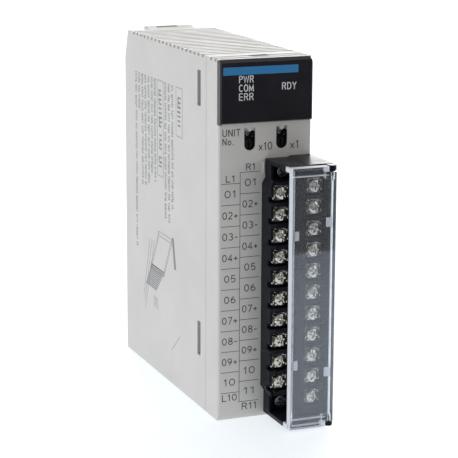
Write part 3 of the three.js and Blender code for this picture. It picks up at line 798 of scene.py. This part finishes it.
def window_liner(side):
    """The switch's black frame, a thin U that stands just inside a switch window."""
    low, high = drawn_box(f"rotary_dial_{side}")
    x, foot = (low.x + high.x) / 2, 99.9
    outer, inner, top, near, far = 2.07, 1.93, POINTER_TIP, 0.45, 2.2
    outline = []
    for half, order in ((outer, 1), (inner, -1)):
        bend = [(x + half * u, foot + half * v) for u, v in curve(0, 0, 1, 1, 180, 360, 16)]
        outline += [(x - half, top), *bend, (x + half, top)][::order]
    shape = bmesh.new()
    count = len(outline) // 2
    outside, inside = outline[:count], outline[count:][::-1]
    rings = [[[shape.verts.new(spot(u, y, v)) for u, v in line] for line in (outside, inside)]
             for y in (near, far)]
    (near_out, near_in), (far_out, far_in) = rings
    for k in range(count - 1):
        for a, b in ((near_out, near_in), (near_in, far_in), (far_in, far_out), (far_out, near_out)):
            shape.faces.new((a[k], a[k + 1], b[k + 1], b[k]))
    for k in (0, count - 1):
        shape.faces.new((near_out[k], near_in[k], far_in[k], far_out[k]))
    piece_from(f"switch_liner_{side}", shape, "dial", "casing")


def seam_lip():
    """The bezel's lip that shows as a shallow line where the two shells meet."""
    depth, near, far, wall = 0.22, 11.83, 12.17, 1.2
    width = SIDE - depth
    top = drawn(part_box("front_bezel")[1]).z - depth
    shape = bmesh.new()
    add_block(shape, -width, -width + wall, near, far, depth, top)
    add_block(shape, width - wall, width, near, far, depth, top)
    add_block(shape, -width + wall, width - wall, near, far, depth, depth + wall)
    add_block(shape, -width + wall, width - wall, near, far, top - wall, top)
    piece_from("seam_lip", shape, "housing", "casing")


# ---------------------------------------------------------------- screws and washers


def cross_cutter(reach, breadth, depth, taper):
    """A tapered cross for a driver recess, with its open end in front of y = 0."""
    def cross_outline(scale, y):
        r, b = reach * scale, breadth / 2 * (0.4 + 0.6 * scale)
        points = [(b, r), (-b, r), (-b, b), (-r, b), (-r, -b), (-b, -b), (-b, -r), (b, -r), (b, -b),
                  (r, -b), (r, b), (b, b)]
        return [Vector((x * MM, y * MM, z * MM)) for x, z in points]
    shape = bmesh.new()
    levels = ((1.1, -0.3), (1.0, 0.0), (taper, depth))
    rings = [[shape.verts.new(point) for point in cross_outline(scale, y)] for scale, y in levels]
    shape.faces.new(rings[0])
    shape.faces.new(list(reversed(rings[-1])))
    for near, far in zip(rings, rings[1:]):
        for k in range(len(near)):
            n = (k + 1) % len(near)
            shape.faces.new((near[n], near[k], far[k], far[n]))
    bmesh.ops.recalc_face_normals(shape, faces=shape.faces)
    return shape


def slot_cutter(reach, breadth, depth):
    shape = bmesh.new()
    half, past = breadth / 2 * MM, 0.5
    corners = [Vector((-reach * MM, -past * MM, -half)), Vector((reach * MM, -past * MM, -half)),
               Vector((reach * MM, -past * MM, half)), Vector((-reach * MM, -past * MM, half))]
    add_prism(shape, corners, Vector((0, (past + depth) * MM, 0)))
    bmesh.ops.recalc_face_normals(shape, faces=shape.faces)
    return shape


def screw_mesh(name, head_radius, head_height, shank_radius, length, recess, slot=None, crown=0.12):
    """A pan-head screw along Y with its crown at y = 0: rounded head, driver recess, thread grooves.

    The recess is (reach, breadth, depth, taper) of its cross, and the slot (reach, breadth, depth).
    """
    edge = 0.32
    profile = [(0, 0), (head_radius * 0.5, crown * 0.25), (head_radius - edge, crown)]
    profile += arc(edge, head_radius - edge, crown + edge, -90, 0, 5)[1:]
    profile += [(head_radius, head_height - 0.08), (head_radius - 0.08, head_height),
                (shank_radius, head_height)]
    pitch, tooth = 0.5, 0.16
    y = head_height + 0.3
    while y < length - 0.6:
        profile += [(shank_radius, y), (shank_radius - tooth, y + pitch / 2)]
        y += pitch
    profile += [(shank_radius, y), (shank_radius - 0.3, length), (0, length)]
    holder = object_from(name, lathe(profile, 40))
    cutters = [object_from("recess", cross_cutter(*recess))]
    if slot:
        cutters.append(object_from("slot", slot_cutter(*slot)))
    for cutter in cutters:
        cut = holder.modifiers.new("cut", "BOOLEAN")
        cut.operation = "DIFFERENCE"
        cut.solver = "EXACT"
        cut.object = cutter
    rounded = holder.modifiers.new("round", "BEVEL")
    rounded.width = 0.05 * MM
    rounded.segments = 2
    rounded.limit_method = "ANGLE"
    rounded.angle_limit = math.radians(40)
    mesh = evaluated_mesh(holder, name)
    for item in [holder, *cutters]:
        bpy.data.objects.remove(item)
    return mesh


def fit_screw(node, name, mesh, finish, body, turn):
    """Puts a finished screw where the CAD one is, and lets it stand for it."""
    low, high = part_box(node)
    centre = (low + high) / 2
    place = Matrix.Translation((centre.x, low.y, centre.z)) @ Matrix.Rotation(math.radians(turn), 4, "Y")
    piece = piece_of(name, mesh, finish, body, place=place)
    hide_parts(node)


def terminal_screws():
    low, high = drawn_box("terminal_screw_a01")
    mesh = screw_mesh("terminal_screw", (high.x - low.x) / 2, 1.5, 1.3, high.y - low.y,
                      (1.55, 0.7, 1.2, 0.5), slot=(2.6, 0.55, 0.7), crown=0.42)
    for k, tag in enumerate(TERMINALS):
        fit_screw(f"terminal_screw_{tag}", f"clamp_screw_{tag}", mesh, "nickel", f"screw_{tag}",
                  (k * 53) % 90 + 10)


def block_screws():
    low, high = drawn_box("block_screw_top")
    mesh = screw_mesh("block_screw", (high.x - low.x) / 2, 2.1, 1.45, high.y - low.y,
                      (1.6, 0.75, 1.2, 0.45))
    fit_screw("block_screw_top", "fixing_screw_top", mesh, "black_steel", "upper_block_screw",
              28)
    fit_screw("block_screw_bottom", "fixing_screw_bottom", mesh, "black_steel", "lower_block_screw",
              61)


def lock_screw():
    low, high = drawn_box("module_lock_screw")
    mesh = screw_mesh("lock_screw", (high.x - low.x) / 2, 3.8, 1.9, high.y - low.y,
                      (2.1, 0.9, 1.6, 0.45))
    fit_screw("module_lock_screw", "backplane_lock_screw", mesh, "nickel", "lock_screw",
              35)


WASHER = {"half_width": 3.2, "half_height": 2.65, "hole": 1.55, "sheet": 0.3, "rib": 0.36, "lip": 0.22}


def washer_rim(angle):
    """Outer radius of the square washer, nicked in the middle of its left and right edges."""
    c, s = abs(math.cos(angle)), abs(math.sin(angle))
    corner_radius, nick_radius, nick_angle = 3.75, 2.2, math.radians(24)
    rim = min(WASHER["half_width"] / max(c, 1e-6), WASHER["half_height"] / max(s, 1e-6), corner_radius)
    off_axis = math.atan2(s, c)
    if off_axis < nick_angle:
        nick = nick_radius + (rim - nick_radius) * (off_axis / nick_angle)
        return min(rim, nick)
    return rim


def washer_height(x, z):
    """Pressed ribs that run from the screw to the four corners, and side edges turned up."""
    flat_radius, fade_length, rib_half = 2.3, 0.4, 0.46
    radius = math.hypot(x, z)
    if radius < flat_radius:
        return 0.0
    slope = WASHER["half_height"] / WASHER["half_width"]
    off_rib = abs(abs(z) - slope * abs(x)) / math.hypot(1, slope)
    fade = min(1.0, (radius - flat_radius) / fade_length)
    rib = WASHER["rib"] * max(0.0, 1 - off_rib / rib_half)
    lip_half = 0.3
    edge = max(0.0, 1 - abs(WASHER["half_width"] - lip_half - abs(x)) / lip_half)
    return fade * max(rib, WASHER["lip"] * edge)


def washer_mesh():
    """A pressed square clamp washer, drawn in the XZ plane with its front towards -Y."""
    shape = bmesh.new()
    around, rings = 120, 12
    fronts, backs = [], []
    for step in range(rings + 1):
        share = step / rings
        front, back = [], []
        for k in range(around):
            angle = 2 * math.pi * k / around
            radius = WASHER["hole"] + (washer_rim(angle) - WASHER["hole"]) * share
            x, z = radius * math.cos(angle), radius * math.sin(angle)
            lift = washer_height(x, z)
            front.append(shape.verts.new((x * MM, -(WASHER["sheet"] + lift) * MM, z * MM)))
            back.append(shape.verts.new((x * MM, 0, z * MM)))
        fronts.append(front)
        backs.append(back)
    for k in range(around):
        n = (k + 1) % around
        for layer in (fronts, backs):
            for inner, outer in zip(layer, layer[1:]):
                shape.faces.new((inner[k], inner[n], outer[n], outer[k]))
        for rim in (0, rings):
            shape.faces.new((fronts[rim][k], fronts[rim][n], backs[rim][n], backs[rim][k]))
    bmesh.ops.recalc_face_normals(shape, faces=shape.faces)
    mesh = bpy.data.meshes.new("clamp_washer")
    shape.to_mesh(mesh)
    shape.free()
    return mesh


def clamp_washers():
    mesh, gap = washer_mesh(), 0.03
    for tag in TERMINALS:
        low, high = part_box(f"terminal_screw_{tag}")
        plate_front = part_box(f"terminal_contact_{tag}")[0].y
        place = Matrix.Translation(((low.x + high.x) / 2, plate_front - gap * MM, (low.z + high.z) / 2))
        piece_of(f"clamp_washer_{tag}", mesh, "nickel", "terminal_block", place=place)


# ---------------------------------------------------------------- rear details


def connector_contacts():
    """Gold spring contacts on both faces of the rear connector's tongue."""
    low, high = drawn_box("backplane_connector")
    shape = bmesh.new()
    pitch, count, width = 2.0, 23, 0.7
    middle = (low.z + high.z) / 2
    reach = high.y
    for sign in (-1, 1):
        for k in range(count):
            z = middle + pitch * (k - (count - 1) / 2)
            root, crest = sign * 2.02, sign * 2.75
            under_crest = sign * 2.5
            points = [(root, reach - 5.2), (crest, reach - 3.4), (crest, reach - 2.6),
                      (root, reach - 1.6), (root, reach - 1.9), (under_crest, reach - 2.8),
                      (under_crest, reach - 3.3), (root, reach - 4.9)]
            add_prism(shape, [spot(x, y, z - width / 2) for x, y in points], Vector((0, 0, width * MM)))
    piece_from("connector_contacts", shape, "gold", "casing")


# ---------------------------------------------------------------- camera, light and floor


def camera():
    data = bpy.data.cameras.new("camera")
    data.sensor_width = 36
    data.lens = 139.93
    data.clip_start, data.clip_end = 0.01, 50
    eye = bpy.data.objects.new("camera", data)
    SCENE.collection.objects.link(eye)
    yaw, pitch, roll = (math.radians(a) for a in (-21.845, -12.788, -0.231))
    eye.matrix_world = (
        Matrix.Translation(spot(-239.69, -564.25, 208.33))
        @ Matrix.Rotation(yaw, 4, "Z")
        @ Matrix.Rotation(math.pi / 2 + pitch, 4, "X")
        @ Matrix.Rotation(-roll, 4, "Z")
    )
    SCENE.camera = eye


def softbox(name, place, target, width, height, power, colour=(1, 1, 1)):
    data = bpy.data.lights.new(name, "AREA")
    data.shape = "RECTANGLE"
    data.size, data.size_y = width, height
    data.energy = power
    data.color = colour
    lamp = bpy.data.objects.new(name, data)
    SCENE.collection.objects.link(lamp)
    lamp.location = place
    lamp.rotation_euler = (Vector(target) - Vector(place)).to_track_quat("-Z", "Y").to_euler()
    lamp.visible_camera = False


def card(name, centre, width, depth, colour):
    """A studio card beside the set: it shows in reflections and takes light away, unseen itself."""
    shape = bmesh.new()
    half_x, half_y = width / 2, depth / 2
    corners = [Vector((centre[0] + sx * half_x, centre[1] + sy * half_y, centre[2]))
               for sx, sy in ((-1, -1), (1, -1), (1, 1), (-1, 1))]
    shape.faces.new([shape.verts.new(corner) for corner in corners])
    holder = object_from(name, shape)
    finish = Finish(name, colour, 0.9)
    finish.tint(finish.noise(80), shade(colour, 0.9))
    holder.data.materials.append(finish.material)
    holder.visible_camera = False


def floor():
    """A pale lit table: it glows a little, so shadows on it stay faint."""
    shape = bmesh.new()
    bmesh.ops.create_circle(shape, cap_ends=True, segments=96, radius=7.0)
    holder = object_from("floor", shape)
    finish = Finish("lit_table", (0.30, 0.31, 0.32), 0.6, Emission_Color=(0.915, 0.96, 1.0, 1),
                    Emission_Strength=0.77)
    finish.tint(finish.noise(300, 3.0), (0.32, 0.33, 0.335))
    finish.relief(finish.noise(1.2, 3.0), 0.03, 0.1)
    holder.data.materials.append(finish.material)


def world():
    SCENE.world = bpy.data.worlds.new("studio")
    SCENE.world.use_nodes = True
    back = SCENE.world.node_tree.nodes["Background"]
    back.inputs["Color"].default_value = (0.98, 0.99, 1.0, 1)
    back.inputs["Strength"].default_value = 0.3


def studio():
    world()
    floor()
    warm = (1.0, 0.95, 0.86)
    softbox("top_softbox", (0.0, 0.3, 1.6), (0, 0, 0), 1.6, 1.6, 5.5)
    softbox("front_strip", (-1.2, -1.2, 0.8), (0, 0, 0.06), 0.12, 1.4, 0.4, warm)
    softbox("overhead_strip", (0.2, -1.4, 1.5), (0, 0, 0.06), 1.6, 0.12, 0.4, warm)
    softbox("right_softbox", (1.1, -1.2, 0.5), (0, 0, 0.06), 1.0, 0.8, 3.2, warm)
    softbox("left_softbox", (-1.5, 0.1, 0.7), (0, 0, 0.06), 1.2, 1.2, 9)
    softbox("back_softbox", (0.9, 2.2, 0.7), (0, 0, 0.1), 3.0, 1.4, 60)
    card("front_flag", (0.3, -0.7325, 0.012), 1.8, 0.935, (0.03, 0.03, 0.035))
    SCENE.view_settings.view_transform = "Standard"
    SCENE.view_settings.look = "None"


# ---------------------------------------------------------------- assembly

camera()
dress_cad_pieces()
front_table()
switch_captions()
window_print()
side_notes()
side_sketch()
for dial in ("left", "right"):
    dial_digits(dial)
    window_ramp(dial)
    window_liner(dial)
seam_lip()
terminal_screws()
block_screws()
lock_screw()
clamp_washers()
connector_contacts()
studio()
